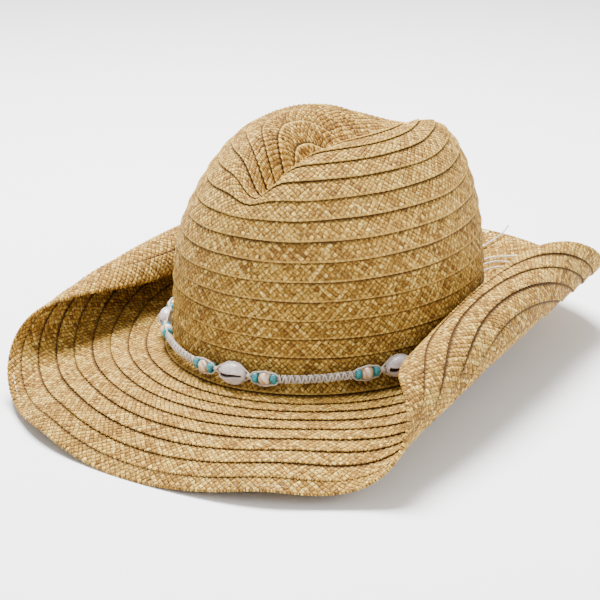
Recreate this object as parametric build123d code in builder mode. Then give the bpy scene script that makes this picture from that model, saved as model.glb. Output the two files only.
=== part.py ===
"""Western hat of sewn paper-straw braid, with a beaded macrame hatband.

The hat stands with its front towards -Y and the crown up +Z. The origin is the
centre of the head opening, at the break between crown and brim. Millimetres.
"""
import os
from math import atan2, cos, exp, hypot, pi, radians, sin, sqrt, tan

from build123d import *

# ---- Driving dimensions -------------------------------------------------
HEAD_LENGTH = 200.0      # outside of the crown at its base, front to back
HEAD_WIDTH = 171.4       # the same, side to side
CROWN_HEIGHT = 130.0     # crown tip before the crease is pressed in
STRAW = 1.8              # thickness of the sewn braid
BRIM_WIDTH = 93.0        # crown to edge, measured along the straw
CROWN_CLEARANCE = 0.2    # between the crown's foot and the brim's inner row

CROWN_SQUARENESS = 3.7   # exponent of the crown's profile: 2 is round, more is boxier
CROWN_TAPER = 0.15       # share of its width that the crown loses by its tip
CROWN_LEAN = 6.0         # top of the crown lower at the front, higher at the back
CREASE_DEPTH = 44.0      # centre crease below the uncreased crown, at mid length
CREASE_WIDTH = 20.0      # half width of the crease at mid length
CREASE_FLARE = 9.0       # how much wider the crease is at the back than at mid length
CREASE_RUN_OUT = 0.9     # share of its depth that the crease loses by the crown's ends
CREASE_FOOT = 0.68       # share of the crown's height above which it is creased
PINCH = 0.23             # share by which the front of the crown is squeezed in
PINCH_FOOT = 0.45        # share of the crown's height above which it is squeezed
PINCH_FULL = 0.95        # and where the squeeze is whole
PINCH_BACK = 0.17        # how far back the squeeze reaches, in half lengths from the middle
PINCH_FRONT = -0.9       # and where it is whole

ROLL_START = 110.0       # flat distance from the centre line to where a side rolls up
ROLL_INSET = 4.75        # how much nearer the roll starts, level with the crown's two ends
ROLL_TURN_IN = 2.5       # shift of that start from front to back, for the same length
ROLL_RADIUS = 15.5
ROLL_EASE = 12.0         # half of the stretch over which the roll begins
ROLL_LOOSER_BACK = 0.12  # share by which it is looser level with the crown's back, tighter at the front
ROLL_END_LOSS = 0.5      # share of its curl that it loses past the crown's ends
ROLL_END_EASE = 75.0     # stretch over which it loses it
FRONT_DIP = 44.0         # slope of the brim at its front edge, degrees
FRONT_DROOP = 2.3        # exponent by which that slope grows towards the edge
BACK_RISE = 14.0         # slope of the brim at its back edge, degrees
END_START = 90.0         # the front and back slopes begin this far from the middle
END_RUN = 103.0          # and are whole after this much more
SIDE_SLOPES = (-16.0, 15.0, 16.0)   # side slope at front, middle and back, degrees
SIDE_REACH = 150.0       # where the front and back ones of these hold, from the middle
SIDE_START = 55.0        # the side slope begins this far from the centre line
SIDE_EASE = 35.0         # and is whole after this much more

SWEATBAND_HEIGHT = 30.0
SWEATBAND_THICKNESS = 0.8
SWEATBAND_GAP = 1.2      # between the sweatband and the crown at its foot
WIRE_DIAMETER = 1.0      # spring wire folded into the brim's outermost row
WIRE_INSET = 3.0         # from the brim's edge
WIRE_END_GAP = 0.004     # half of the gap between the wire's ends at the back, radians
JOINER_LENGTH = 14.0     # sleeve that joins the wire's ends
JOINER_DIAMETER = 1.6
JOINER_PLAY = 0.05

BAND_GAP = 4.4           # from the crown's base to the middle of the hatband
BAND_HEIGHT = 8.0        # middle of the hatband above the brim break, front and back
BAND_SIDE_RISE = 4.0     # how much higher it lies at the sides
BAND_END_RADIUS = 80.0   # front and back arcs of the hatband's oval
CORD_DIAMETER = 1.0
CORD_PITCH = 1.1         # between the two core cords, one above the other
UNIT = 93.0              # cowrie to cowrie along the band
FRONT_COWRIE = 4.0       # first cowrie, along the band from the front centre
TRIO_OFFSET = 19.0       # cowrie centre to the middle of the three beads beside it
ROUND_BEAD = 7.2         # diameter of a cream bead
RING_BEAD = 6.6          # diameter of a turquoise ring
RING_LENGTH = 3.2
ROUND_LENGTH = 6.4
BEAD_HOLE = 3.0
BEAD_SPACE = 0.2         # between neighbouring beads
MACRAME_WIDTH = 4.6
COWRIE_LENGTH = 17.0
COWRIE_WIDTH = 12.5
COWRIE_DEPTH = 5.0       # from the cords out to the shell's face
COWRIE_BACK = 1.8        # from the cords back to the cut
COWRIE_WALL = 1.1
COWRIE_SLIT = 1.2
COWRIE_HOLE = 3.8        # worn through both ends for the cords
KNOT_AT = 283.0          # knot, along the band from the front centre
KNOT_LENGTH = 9.0
KNOT_WIDTH = 6.5
CORD_END = 1.5           # the core cords stop this far from the knot's middle

os.makedirs("parts", exist_ok=True)
half_length = HEAD_LENGTH / 2
half_width = HEAD_WIDTH / 2


def finish(builder, name):
    """Label a finished piece and write it to its own file."""
    builder.part.label = name
    export_step(builder.part, f"parts/{name}.step")


def smooth(x):
    """Rise from 0 to 1 with level ends."""
    x = min(max(x, 0.0), 1.0)
    return x * x * (3 - 2 * x)


# ---- Crown --------------------------------------------------------------
def crown_point(turn, climb, inset):
    """Point of the crown: turn goes round from the front, climb from 0 at the base to 90."""
    power = 2 / CROWN_SQUARENESS
    share = cos(radians(climb)) ** power
    rise = sin(radians(climb)) ** power
    taper = 1 - CROWN_TAPER * rise**2
    x = (half_width - inset) * share * taper * sin(turn)
    y = -(half_length - inset) * share * cos(turn)
    back = y / half_length
    # The crease depends on the plan position only, so both faces of the straw follow it.
    plan = min(hypot(x / half_width / taper, back), 1.0)
    shelf = (1 - plan**CROWN_SQUARENESS) ** (1 / CROWN_SQUARENESS)
    spread = CREASE_WIDTH + CREASE_FLARE * back
    depth = CREASE_DEPTH * (1 - CREASE_RUN_OUT * back**2)
    dent = depth * smooth((shelf - CREASE_FOOT) / (1 - CREASE_FOOT))
    z = (CROWN_HEIGHT - inset) * rise - dent * exp(-((x / spread) ** 2))
    z += CROWN_LEAN * shelf * back if climb else 0
    squeeze = smooth((PINCH_BACK - back) / (PINCH_BACK - PINCH_FRONT))
    squeeze *= smooth((shelf - PINCH_FOOT) / (PINCH_FULL - PINCH_FOOT))
    return Vector(x * (1 - PINCH * squeeze), y, z)


def crown_ring(climb, inset, drop=0.0):
    """Closed curve round the crown at one climb."""
    count = 32
    points = [crown_point(2 * pi * i / count, climb, inset) for i in range(count)]
    points = [point - Vector(0, 0, drop) for point in points]
    steps = [i / count for i in range(count + 1)]
    return Wire([Edge.make_spline(points, parameters=steps, periodic=True)])


def crown_form(inset, skirt):
    """Closed body of the crown, carried straight down by skirt below the brim break."""
    rings = [crown_ring(0, inset, skirt), crown_ring(0, inset, skirt / 2)]
    rings += [crown_ring(climb, inset) for climb in (1, 4, 8, 13, 19, 26, 33, 40)]
    rings += [crown_ring(climb, inset) for climb in (47, 54, 61, 67, 73, 78, 83, 87)]
    tip = crown_point(0, 90, inset)
    return Solid.make_loft(rings + [Vertex(tip.X, tip.Y, tip.Z)])


with BuildPart() as crown:
    add(crown_form(0, STRAW))
    add(crown_form(STRAW, 2 * STRAW), mode=Mode.SUBTRACT)
finish(crown, "crown")

with BuildPart() as sweatband:
    wall = STRAW + SWEATBAND_GAP
    with BuildSketch(Plane.XY.offset(-STRAW)):
        Ellipse(half_width - wall, half_length - wall)
        wall += SWEATBAND_THICKNESS
        Ellipse(half_width - wall, half_length - wall, mode=Mode.SUBTRACT)
    extrude(amount=SWEATBAND_HEIGHT)
finish(sweatband, "sweatband")


# ---- Brim ---------------------------------------------------------------
def walk(length, slope):
    """Follow a sheet for length where its slope in radians is slope(distance)."""
    steps = 40
    run = rise = 0.0
    for i in range(steps):
        angle = slope((i + 0.5) * length / steps)
        run += cos(angle) * length / steps
        rise += sin(angle) * length / steps
    return run, rise


def brim_point(turn, reach):
    """Point of the straw's upper face: turn from the front, reach outwards from the crown."""
    across, along = sin(turn) / half_width, -cos(turn) / half_length
    flat_x = half_width * sin(turn) + reach * across / hypot(across, along)
    flat_y = -half_length * cos(turn) + reach * along / hypot(across, along)

    station = flat_y / half_length
    start = ROLL_START - ROLL_INSET * station**2 - ROLL_TURN_IN * station
    ends = smooth((abs(flat_y) - half_length) / ROLL_END_EASE)
    tightness = (1 - ROLL_LOOSER_BACK * station) * (1 - ROLL_END_LOSS * ends) / ROLL_RADIUS
    front, middle, back = (radians(slope) for slope in SIDE_SLOPES)
    share = flat_y / SIDE_REACH
    side = middle + (back - front) / 2 * share + ((back + front) / 2 - middle) * share**2

    def across_slope(s):
        past = s - start
        eased = (past + ROLL_EASE) ** 2 / (4 * ROLL_EASE) if abs(past) < ROLL_EASE else max(past, 0)
        return side * smooth((s - SIDE_START) / SIDE_EASE) + eased * tightness

    def along_slope(s):
        share = s / END_RUN
        return -radians(FRONT_DIP) * share**FRONT_DROOP if flat_y < 0 else radians(BACK_RISE) * share

    x, side_z = walk(abs(flat_x), across_slope)
    y, end_z = walk(max(abs(flat_y) - END_START, 0), along_slope)
    y += min(abs(flat_y), END_START)
    return Vector(x if flat_x >= 0 else -x, y if flat_y >= 0 else -y, side_z + end_z)


def brim_normal(turn, reach):
    """Upward normal of the brim's upper face."""
    step_turn = brim_point(turn + 0.004, reach) - brim_point(turn - 0.004, reach)
    step_out = brim_point(turn, reach + 0.4) - brim_point(turn, reach - 0.4)
    return step_out.cross(step_turn).normalized()


def brim_section(turn):
    """Closed outline of the straw at one turn, from the crown to the brim's edge."""
    count = 16
    reaches = [CROWN_CLEARANCE + (BRIM_WIDTH - CROWN_CLEARANCE) * i / count for i in range(count + 1)]
    top = [brim_point(turn, reach) for reach in reaches]
    low = [point - brim_normal(turn, reach) * STRAW for point, reach in zip(top, reaches)]
    if turn in (0, pi):
        top = [Vector(0, point.Y, point.Z) for point in top]
        low = [Vector(0, point.Y, point.Z) for point in low]
    low.reverse()
    steps = [i / count for i in range(count + 1)]
    upper_face = Edge.make_spline(top, parameters=steps)
    lower_face = Edge.make_spline(low, parameters=steps)
    rim, inner = Edge.make_line(top[-1], low[0]), Edge.make_line(low[-1], top[0])
    return Wire([upper_face, rim, lower_face, inner])


with BuildPart() as brim:
    sections = 36
    add(Solid.make_loft([brim_section(pi * i / sections) for i in range(sections + 1)]))
    mirror(about=Plane.YZ)
finish(brim, "brim")


# ---- Wire in the brim's edge ---------------------------------------------
def edge_point(turn):
    """Middle of the straw just inside the brim's edge."""
    reach = BRIM_WIDTH - WIRE_INSET
    return brim_point(turn, reach) - brim_normal(turn, reach) * STRAW / 2


def cord_path(points, report=""):
    """Straight runs joined by tangent arcs as large as the runs allow."""
    points = [Vector(*point) for point in points]
    radii = []
    for before, here, after in zip(points, points[1:], points[2:]):
        half_turn = radians((here - before).get_angle(after - here)) / 2
        shorter = min((here - before).length, (after - here).length)
        radii.append(0.45 * shorter / tan(half_turn))
    path = FilletPolyline(*points, radius=radii)
    if report:
        print(report, "length", round(path.length, 1), "radii", [round(radius, 1) for radius in radii])
    return path


def tube(points, diameter, report=""):
    """Cord or wire of round section along cord_path."""
    with BuildPart() as piece:
        with BuildLine():
            path = cord_path(points, report)
        with BuildSketch(Plane(path @ 0, z_dir=path % 0)):
            Circle(diameter / 2)
        sweep(path=path)
    if report:
        print(report, "volume over section times length", round(
            piece.part.volume / (path.length * pi * diameter**2 / 4), 4))
    return piece


edge_wire = tube(
    [edge_point(-pi + WIRE_END_GAP + (2 * pi - 2 * WIRE_END_GAP) * i / 64) for i in range(65)],
    WIRE_DIAMETER,
    "edge wire",
)
finish(edge_wire, "edge_wire")

with BuildPart() as wire_joiner:
    back = edge_point(pi)
    with BuildSketch(Plane(back, x_dir=(0, 1, 0), z_dir=(1, 0, 0))):
        Circle(JOINER_DIAMETER / 2)
        Circle(WIRE_DIAMETER / 2 + JOINER_PLAY, mode=Mode.SUBTRACT)
    extrude(amount=JOINER_LENGTH / 2, both=True)
finish(wire_joiner, "wire_joiner")


# ---- Hatband -------------------------------------------------------------
band_half_length = half_length + BAND_GAP
band_half_width = half_width + BAND_GAP
end_centre = band_half_length - BAND_END_RADIUS
side_radius = (band_half_width**2 + end_centre**2 - BAND_END_RADIUS**2) / (
    2 * (band_half_width - BAND_END_RADIUS)
)
side_centre = side_radius - band_half_width
end_turn = atan2(side_centre, end_centre)
side_turn = pi / 2 - end_turn
end_arc = BAND_END_RADIUS * end_turn
side_arc = side_radius * side_turn
band_length = 4 * (end_arc + side_arc)


def band_turn(along):
    """Turn from the front, 0 to 90 degrees, and centre and radius for a quarter of the oval."""
    if along < end_arc:
        return along / BAND_END_RADIUS, (0, -end_centre), BAND_END_RADIUS
    turn = end_turn + (along - end_arc) / side_radius
    return turn, (-side_centre, 0), side_radius


def band_point(along, rise=0.0, outwards=0.0):
    """Point on the hatband's oval; along is measured from the front, positive towards +X."""
    along = (along + band_length / 2) % band_length - band_length / 2
    quarter = abs(along)
    at_back = quarter > band_length / 4
    if at_back:
        quarter = band_length / 2 - quarter
    turn, centre, radius = band_turn(quarter)
    x = centre[0] + (radius + outwards) * sin(turn)
    y = centre[1] - (radius + outwards) * cos(turn)
    z = BAND_HEIGHT + BAND_SIDE_RISE * sin(turn) ** 2 + rise
    return Vector(x if along > 0 else -x, -y if at_back else y, z)


def band_plane(along):
    """Plane across the band's cord: x along the cord, y towards the crown, z up."""
    heading = band_point(along + 0.5) - band_point(along - 0.5)
    inwards = Vector(0, 0, 1).cross(heading)
    return Plane(band_point(along), x_dir=heading, z_dir=heading.cross(inwards))


def bead(along, length, diameter, rounding):
    """Drilled bead threaded on the core cords."""
    place = band_plane(along)
    with BuildPart() as piece:
        with BuildSketch(place) as profile:
            with Locations((0, (diameter + BEAD_HOLE) / 4)):
                Rectangle(length, (diameter - BEAD_HOLE) / 2)
            fillet(profile.vertices().group_by(Axis(place.origin, place.y_dir))[-1], rounding)
        revolve(axis=Axis(place.origin, place.x_dir))
    return piece


def pod(length, depth, width):
    """Rounded body of the given half sizes, with small flat ends."""
    with BuildPart() as body:
        for share in (-0.95, -0.8, -0.45, 0, 0.45, 0.8, 0.95):
            size = sqrt(1 - share**2)
            with BuildSketch(Plane.YZ.offset(share * length)):
                Ellipse(depth * size, width * size)
        loft()
    return body.part


def cowrie(along):
    """Cowrie shell, back cut off towards the crown, with its slit facing outwards."""
    wall = COWRIE_WALL
    outside = pod(COWRIE_LENGTH / 2, COWRIE_DEPTH, COWRIE_WIDTH / 2)
    hollow = pod(COWRIE_LENGTH / 2 - wall, COWRIE_DEPTH - wall, COWRIE_WIDTH / 2 - wall)
    with BuildPart() as piece:
        add(outside)
        with BuildSketch(Plane.XZ):
            SlotOverall(COWRIE_LENGTH - 4 * wall, COWRIE_SLIT)
        extrude(amount=2 * COWRIE_DEPTH, mode=Mode.SUBTRACT)
        add(hollow, mode=Mode.SUBTRACT)
        with BuildSketch(Plane.YZ):
            Circle(COWRIE_HOLE / 2)
        extrude(amount=COWRIE_LENGTH, both=True, mode=Mode.SUBTRACT)
        with BuildSketch(Plane.XZ.offset(-COWRIE_BACK)):
            Rectangle(2 * COWRIE_LENGTH, 2 * COWRIE_WIDTH)
        extrude(amount=-2 * COWRIE_DEPTH, mode=Mode.SUBTRACT)
    piece.part = piece.part.move(band_plane(along).location)
    return piece


def macrame(start, end):
    """Square-knot stretch of the band: a sleeve of knots round the core cords."""
    with BuildPart() as piece:
        with BuildLine():
            path = ThreePointArc(band_point(start), band_point((start + end) / 2), band_point(end))
        with BuildSketch(Plane(path @ 0, z_dir=path % 0)):
            Circle(MACRAME_WIDTH / 2)
            Circle(BEAD_HOLE / 2, mode=Mode.SUBTRACT)
        sweep(path=path)
    return piece


cowries = [FRONT_COWRIE + UNIT * i for i in range(-2, 3)]
trios = [place + side * TRIO_OFFSET for place in cowries for side in (-1, 1)]
trios = [trios[0] - UNIT + 2 * TRIO_OFFSET, *trios, trios[-1] + UNIT - 2 * TRIO_OFFSET]
for number, along in enumerate(cowries, 1):
    finish(cowrie(along), f"cowrie_{number}")

for number, along in enumerate(trios, 1):
    finish(bead(along, ROUND_LENGTH, ROUND_BEAD, 2.0), f"round_bead_{number}")
    for side, letter in ((-1, "a"), (1, "b")):
        place = along + side * (ROUND_LENGTH / 2 + BEAD_SPACE + RING_LENGTH / 2)
        finish(bead(place, RING_LENGTH, RING_BEAD, 0.8), f"ring_bead_{number}{letter}")

trio_half = ROUND_LENGTH / 2 + 2 * BEAD_SPACE + RING_LENGTH
for number, (before, after) in enumerate(zip(trios[0::2], trios[1::2]), 1):
    finish(macrame(before + trio_half, after - trio_half), f"macrame_{number}")

with BuildPart() as knot:
    add(pod(KNOT_LENGTH / 2, KNOT_WIDTH / 2, KNOT_WIDTH / 2))
knot.part = knot.part.move(band_plane(KNOT_AT).location)
finish(knot, "knot")

for name, rise in (("core_cord_upper", CORD_PITCH / 2), ("core_cord_lower", -CORD_PITCH / 2)):
    runs = 40
    first, last = KNOT_AT + CORD_END, KNOT_AT + band_length - CORD_END
    stops = [first + (last - first) * i / runs for i in range(runs + 1)]
    finish(tube([band_point(stop, rise, 0.15) for stop in stops], CORD_DIAMETER, name), name)

# Loose ends of the core cords, from the knot out over the back of the brim.
TAILS = {
    "tail_1": [(20.4, 103.2, 8.2), (20.2, 110.0, 6.4), (18.8, 118.0, 3.0), (16.6, 129.0, 2.8),
               (14.6, 141.0, 4.1), (13.2, 154.0, 5.9), (13.6, 167.0, 8.1), (16.4, 179.0, 10.5),
               (18.4, 188.0, 13.0), (18.8, 194.5, 16.6)],
    "tail_2": [(21.8, 103.0, 8.2), (22.0, 109.6, 6.2), (21.6, 117.0, 2.8), (20.8, 127.0, 2.6),
               (20.6, 138.0, 3.7), (22.2, 149.0, 5.2), (27.2, 156.6, 6.4), (34.0, 159.8, 6.9),
               (41.0, 163.4, 7.6)],
    "tail_3": [(23.2, 102.7, 8.2), (23.8, 109.2, 6.2), (24.2, 116.0, 2.8), (24.0, 125.0, 2.5),
               (24.6, 135.0, 3.4), (26.4, 145.0, 4.6), (31.0, 151.6, 5.5), (38.0, 153.6, 5.8),
               (45.0, 153.0, 5.8)],
    "tail_4": [(24.6, 102.4, 8.2), (25.6, 108.8, 6.2), (27.0, 115.0, 2.8), (28.0, 123.0, 2.4),
               (29.6, 132.0, 3.1), (33.0, 140.6, 4.0), (39.0, 146.4, 4.9), (46.0, 148.0, 5.1)],
}
for name, route in TAILS.items():
    finish(tube(route, CORD_DIAMETER, name), name)
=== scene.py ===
"""Straw western hat with a beaded macrame hatband: the looks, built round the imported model.

The hat stands with its front towards -Y and the crown up +Z; the origin is the centre
of the head opening. Shapes are worked out in millimetres and turned into metres once,
when a mesh is made.
"""
from math import atan2, cos, pi, radians, sin

import bpy
import numpy as np
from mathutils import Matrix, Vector


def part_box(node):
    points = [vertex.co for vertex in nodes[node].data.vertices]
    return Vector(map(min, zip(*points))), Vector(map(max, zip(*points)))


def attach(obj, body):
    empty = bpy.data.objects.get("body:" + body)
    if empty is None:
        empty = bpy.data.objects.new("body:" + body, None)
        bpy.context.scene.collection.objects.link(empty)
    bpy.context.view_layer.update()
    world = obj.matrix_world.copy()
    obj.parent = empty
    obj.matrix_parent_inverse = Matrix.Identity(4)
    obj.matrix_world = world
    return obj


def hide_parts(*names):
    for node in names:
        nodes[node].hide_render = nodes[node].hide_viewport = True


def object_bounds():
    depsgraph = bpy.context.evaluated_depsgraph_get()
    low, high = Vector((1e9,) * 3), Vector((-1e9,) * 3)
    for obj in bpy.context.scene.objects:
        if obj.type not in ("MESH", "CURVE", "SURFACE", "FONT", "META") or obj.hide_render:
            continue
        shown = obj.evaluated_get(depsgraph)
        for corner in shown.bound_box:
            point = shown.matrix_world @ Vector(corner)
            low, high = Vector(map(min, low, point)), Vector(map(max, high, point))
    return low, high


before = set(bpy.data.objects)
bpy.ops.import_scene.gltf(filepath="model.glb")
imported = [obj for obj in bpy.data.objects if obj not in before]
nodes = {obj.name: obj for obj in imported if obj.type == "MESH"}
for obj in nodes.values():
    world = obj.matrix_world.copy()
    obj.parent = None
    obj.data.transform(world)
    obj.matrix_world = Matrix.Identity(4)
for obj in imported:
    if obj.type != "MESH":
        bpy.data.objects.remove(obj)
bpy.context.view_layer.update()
MM = 0.001

# ---- Driving sizes, millimetres ------------------------------------------
HALF_LENGTH = 100.0      # crown at its base, front to back
HALF_WIDTH = 85.7        # and side to side
CROWN_HEIGHT = 130.0
CROWN_SQUARENESS = 3.75  # 2 would be a plain dome
CROWN_CLIMB = 203.0      # from the foot over the wall to the tip
CREASE_DEPTH = 44.1      # centre crease, at the middle of the crown
PINCH = 0.234            # share of its width that the crown loses at the front
LEFT_PINCH_EASE = 0.06   # the left side is pinched that much less
BRIM_WIDTH = 93.0
CELL = 3.3               # one diamond of the plait, corner to corner
BRIM_ROWS = 8            # between the innermost row and the edge row
WALL_ROWS = 11           # crown rows in the wall piece; the rest are in the top piece
INNER_ROWS = 5           # brim rows in the inner piece
ROLL_START = 109.2       # flat distance from the middle to where the right side rolls up
LEFT_ROLL_START = 5.8    # how much further out the left side starts
ROLL_RADIUS = 15.8
LEFT_ROLL_TIGHTER = 1.2
ROLL_EASE = 12.0         # half the stretch over which a roll begins
FRONT_DROOP = 43.0       # degrees at the front edge
BACK_RISE = 14.0         # degrees at the back edge
SIDE_SLOPES = (-15.5, 14.0, 17.0)  # degrees, beside the front, middle and back
STRAW = 0.85             # thickness of one row of braid
TUCK = 2.2               # how far a row runs under the one before
CROWN_ROW = 10.76        # from seam to seam up the crown
FIRST_SEAM = 9.48        # lowest crown seam, along the wall
BRIM_ROW = 10.0
EDGE_ROW = 8.4
BREAK_RADIUS = 8.0       # soft bend between crown and brim
FIRST_BRIM_ROW = 60      # row numbers: the crown's are below this
WEAVE = 0.36             # how proud the middle of a diamond stands

BAND_GAP = 4.4
BAND_HEIGHT = 8.0
BAND_SIDE_RISE = 4.0
BAND_END_RADIUS = 80.0
UNIT = 93.0
FRONT_COWRIE = 4.0
TRIO_OFFSET = 19.0
TRIO_HALF = 6.8
CORD = 1.0
HALF_KNOT = 1.75         # half a square knot, along the band
KNOT_AT = 283.0          # where the band is tied, along it from the front
BEAD_PITCH = 5.0         # round bead to ring bead
BEAD_OUTWARDS = 0.35
CAMERA_DISTANCE = 972.9
CAMERA_ACROSS = -17.6    # the camera's aim, to the side of the middle and above the opening
CAMERA_AIM_HEIGHT = 17.7


def smooth(x):
    """Rise from 0 to 1 with level ends."""
    x = np.clip(x, 0, 1)
    return x * x * (3 - 2 * x)


# ---- Camera --------------------------------------------------------------
azimuth, elevation = radians(33.07), radians(19.505)
aim = (CAMERA_ACROSS * cos(azimuth), CAMERA_ACROSS * sin(azimuth), CAMERA_AIM_HEIGHT)
target = Vector(aim) * MM
towards = Vector((sin(azimuth) * cos(elevation), -cos(azimuth) * cos(elevation), sin(elevation)))
camera_data = bpy.data.cameras.new("camera")
camera_data.lens = 100.2
camera_data.sensor_width = 36.0
camera = bpy.data.objects.new("camera", camera_data)
bpy.context.scene.collection.objects.link(camera)
camera.location = target + towards * CAMERA_DISTANCE * MM
camera.rotation_euler = (-towards).to_track_quat("-Z", "Y").to_euler()
bpy.context.scene.camera = camera


# ---- Shader building -----------------------------------------------------
class Shader:
    """One material, with short calls for the nodes it needs."""

    def __init__(self, name, **fixed):
        self.material = bpy.data.materials.new(name)
        self.material.use_nodes = True
        self.tree = self.material.node_tree
        self.surface = self.tree.nodes["Principled BSDF"]
        for socket, value in fixed.items():
            self.surface.inputs[socket.replace("_", " ")].default_value = value

    def node(self, kind, settings=None, **inputs):
        made = self.tree.nodes.new(kind)
        for name, value in (settings or {}).items():
            setattr(made, name, value)
        for name, value in inputs.items():
            self.put(value, made.inputs[name.replace("_", " ")])
        return made

    def put(self, value, socket):
        if isinstance(value, bpy.types.NodeSocket):
            self.tree.links.new(value, socket)
        else:
            socket.default_value = value

    def math(self, operation, *values):
        made = self.tree.nodes.new("ShaderNodeMath")
        made.operation = operation
        for value, socket in zip(values, made.inputs):
            self.put(value, socket)
        return made.outputs[0]

    def join(self, x, y=0.0, z=0.0):
        return self.node("ShaderNodeCombineXYZ", X=x, Y=y, Z=z).outputs[0]

    def attribute(self, name):
        return self.node("ShaderNodeAttribute", {"attribute_name": name})

    def noise(self, vector, scale, detail=2.0):
        made = self.node("ShaderNodeTexNoise", Vector=vector, Scale=scale, Detail=detail)
        return made.outputs["Fac"]

    def random(self, vector):
        made = self.node("ShaderNodeTexWhiteNoise", {"noise_dimensions": "3D"}, Vector=vector)
        return made.outputs["Value"]

    def ramp(self, value, *stops):
        made = self.node("ShaderNodeValToRGB", Fac=value)
        elements = made.color_ramp.elements
        while len(elements) < len(stops):
            elements.new(0.5)
        for element, (place, colour) in zip(elements, stops):
            element.position = place
            element.color = (*colour, 1)
        return made.outputs["Color"]

    def between(self, value, low, high, start=0.0, end=1.0):
        """value's place from low to high, eased, as a number from start to end."""
        made = self.node("ShaderNodeMapRange", {"interpolation_type": "SMOOTHSTEP"}, Value=value)
        for socket, number in zip(made.inputs[1:5], (low, high, start, end)):
            socket.default_value = number
        return made.outputs[0]

    def mix(self, share, a, b, blend="MIX"):
        made = self.node("ShaderNodeMix", {"data_type": "RGBA", "blend_type": blend})
        self.put(share, made.inputs[0])
        self.put(a if not isinstance(a, tuple) else (*a, 1), made.inputs[6])
        self.put(b if not isinstance(b, tuple) else (*b, 1), made.inputs[7])
        return made.outputs[2]

    def finish(self, colour, height=None, distance=0.2, roughness=None):
        self.put(colour, self.surface.inputs["Base Color"])
        if roughness is not None:
            self.put(roughness, self.surface.inputs["Roughness"])
        if height is not None:
            bump = self.node("ShaderNodeBump", Strength=1.0, Distance=distance * MM, Height=height)
            self.put(bump.outputs[0], self.surface.inputs["Normal"])
        return self.material


def straw_material():
    """Plaited paper raffia: flat strands at 45 degrees, over and under, with fibres along each."""
    s = Shader("plaited_straw", Roughness=0.65, Specular_IOR_Level=0.18)
    plait = s.node("ShaderNodeSeparateXYZ", Vector=s.attribute("plait").outputs["Vector"])
    along, across, row = plait.outputs
    wander = s.math("MULTIPLY_ADD", s.noise(s.join(along, across, row), 0.9), 0.9, -0.45)
    stray = s.math("MULTIPLY_ADD", s.noise(s.join(across, along, row), 1.1), 0.8, -0.40)
    a = s.math("ADD", s.math("ADD", along, across), wander)
    b = s.math("ADD", s.math("SUBTRACT", along, across), stray)
    cell_a, cell_b = s.math("FLOOR", a), s.math("FLOOR", b)
    turn = s.math("FLOORED_MODULO", s.math("ADD", cell_a, cell_b), 2.0)

    def pick(first, second):
        """first where the strand on top runs one way, second where it runs the other."""
        difference = s.math("SUBTRACT", second, first)
        return s.math("MULTIPLY_ADD", difference, turn, first)

    in_a, in_b = s.math("FRACT", a), s.math("FRACT", b)
    width, run = pick(in_b, in_a), pick(in_a, in_b)
    strand = pick(cell_b, cell_a)
    length = pick(a, b)
    side = s.math("ABSOLUTE", s.math("MULTIPLY_ADD", width, 2.0, -1.0))
    end = s.math("ABSOLUTE", s.math("MULTIPLY_ADD", run, 2.0, -1.0))

    key = s.join(strand, row, turn)
    tint = s.random(key)
    drift_place = s.join(s.math("MULTIPLY", length, 0.16), s.math("MULTIPLY", strand, 3.7), row)
    drift = s.noise(drift_place, 1.0, 3.0)
    fibre_place = s.join(
        s.math("MULTIPLY_ADD", width, 7.5, s.math("MULTIPLY", strand, 9.1)),
        s.math("MULTIPLY", length, 0.55),
        s.math("MULTIPLY_ADD", turn, 31.0, row),
    )
    fibres = s.noise(fibre_place, 1.0, 3.0)
    tone = s.math("ADD", s.math("MULTIPLY", tint, 0.45), s.math("MULTIPLY", drift, 0.55))
    colour = s.ramp(
        tone,
        (0.18, (0.165, 0.060, 0.007)),
        (0.38, (0.400, 0.205, 0.030)),
        (0.58, (0.670, 0.395, 0.072)),
        (0.82, (0.920, 0.650, 0.180)),
    )
    streak = s.between(fibres, 0.38, 0.58, 0.26, 1.18)
    colour = s.mix(1.0, colour, s.join(streak, streak, streak), "MULTIPLY")
    # Painted shade in the gaps between the strands, patchier in places.
    painted_gap_shade = s.math("MAXIMUM", s.between(side, 0.55, 0.92), s.between(end, 0.68, 0.96))
    patchy = s.between(s.noise(s.join(a, b, row), 1.4), 0.35, 0.65, 0.35, 0.95)
    colour = s.mix(s.math("MULTIPLY", painted_gap_shade, patchy), colour, (0.075, 0.030, 0.005))

    lip = s.attribute("lip").outputs["Fac"]
    # Painted shadow just beside the lip of the row that laps over this one.
    painted_seam_shadow = s.between(lip, 0.07, 0.24, 0.97, 0.0)
    colour = s.mix(painted_seam_shadow, colour, (0.060, 0.024, 0.005))
    on_crown = s.math("LESS_THAN", row, FIRST_BRIM_ROW - 1.0)
    bright = s.math("MULTIPLY", s.between(lip, 0.93, 0.97, 0.0, 0.45), on_crown)
    colour = s.mix(bright, colour, (0.72, 0.45, 0.10))

    hump = s.math("SUBTRACT", 1.0, s.math("MULTIPLY", s.math("POWER", side, 3.0), 0.7))
    fall = s.math("MULTIPLY", s.math("POWER", end, 2.0), 0.6)
    hump = s.math("MULTIPLY", hump, s.math("SUBTRACT", 1.0, fall))
    height = s.math("ADD", hump, s.math("MULTIPLY", fibres, 0.45))
    return s.finish(colour, height, 1.1)


def cord_material():
    """Off-white waxed cotton, a little worn."""
    s = Shader("waxed_cord", Roughness=0.50, Specular_IOR_Level=0.40, Sheen_Weight=0.15)
    place = s.node("ShaderNodeTexCoord").outputs["Object"]
    fine = s.noise(place, 2600.0, 3.0)
    broad = s.noise(place, 260.0)
    colour = s.ramp(broad, (0.30, (0.46, 0.39, 0.32)), (0.70, (0.66, 0.61, 0.54)))
    colour = s.mix(s.between(fine, 0.35, 0.6, 0.25, 0.0), colour, (0.50, 0.42, 0.32))
    return s.finish(colour, fine, 0.12)


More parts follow.
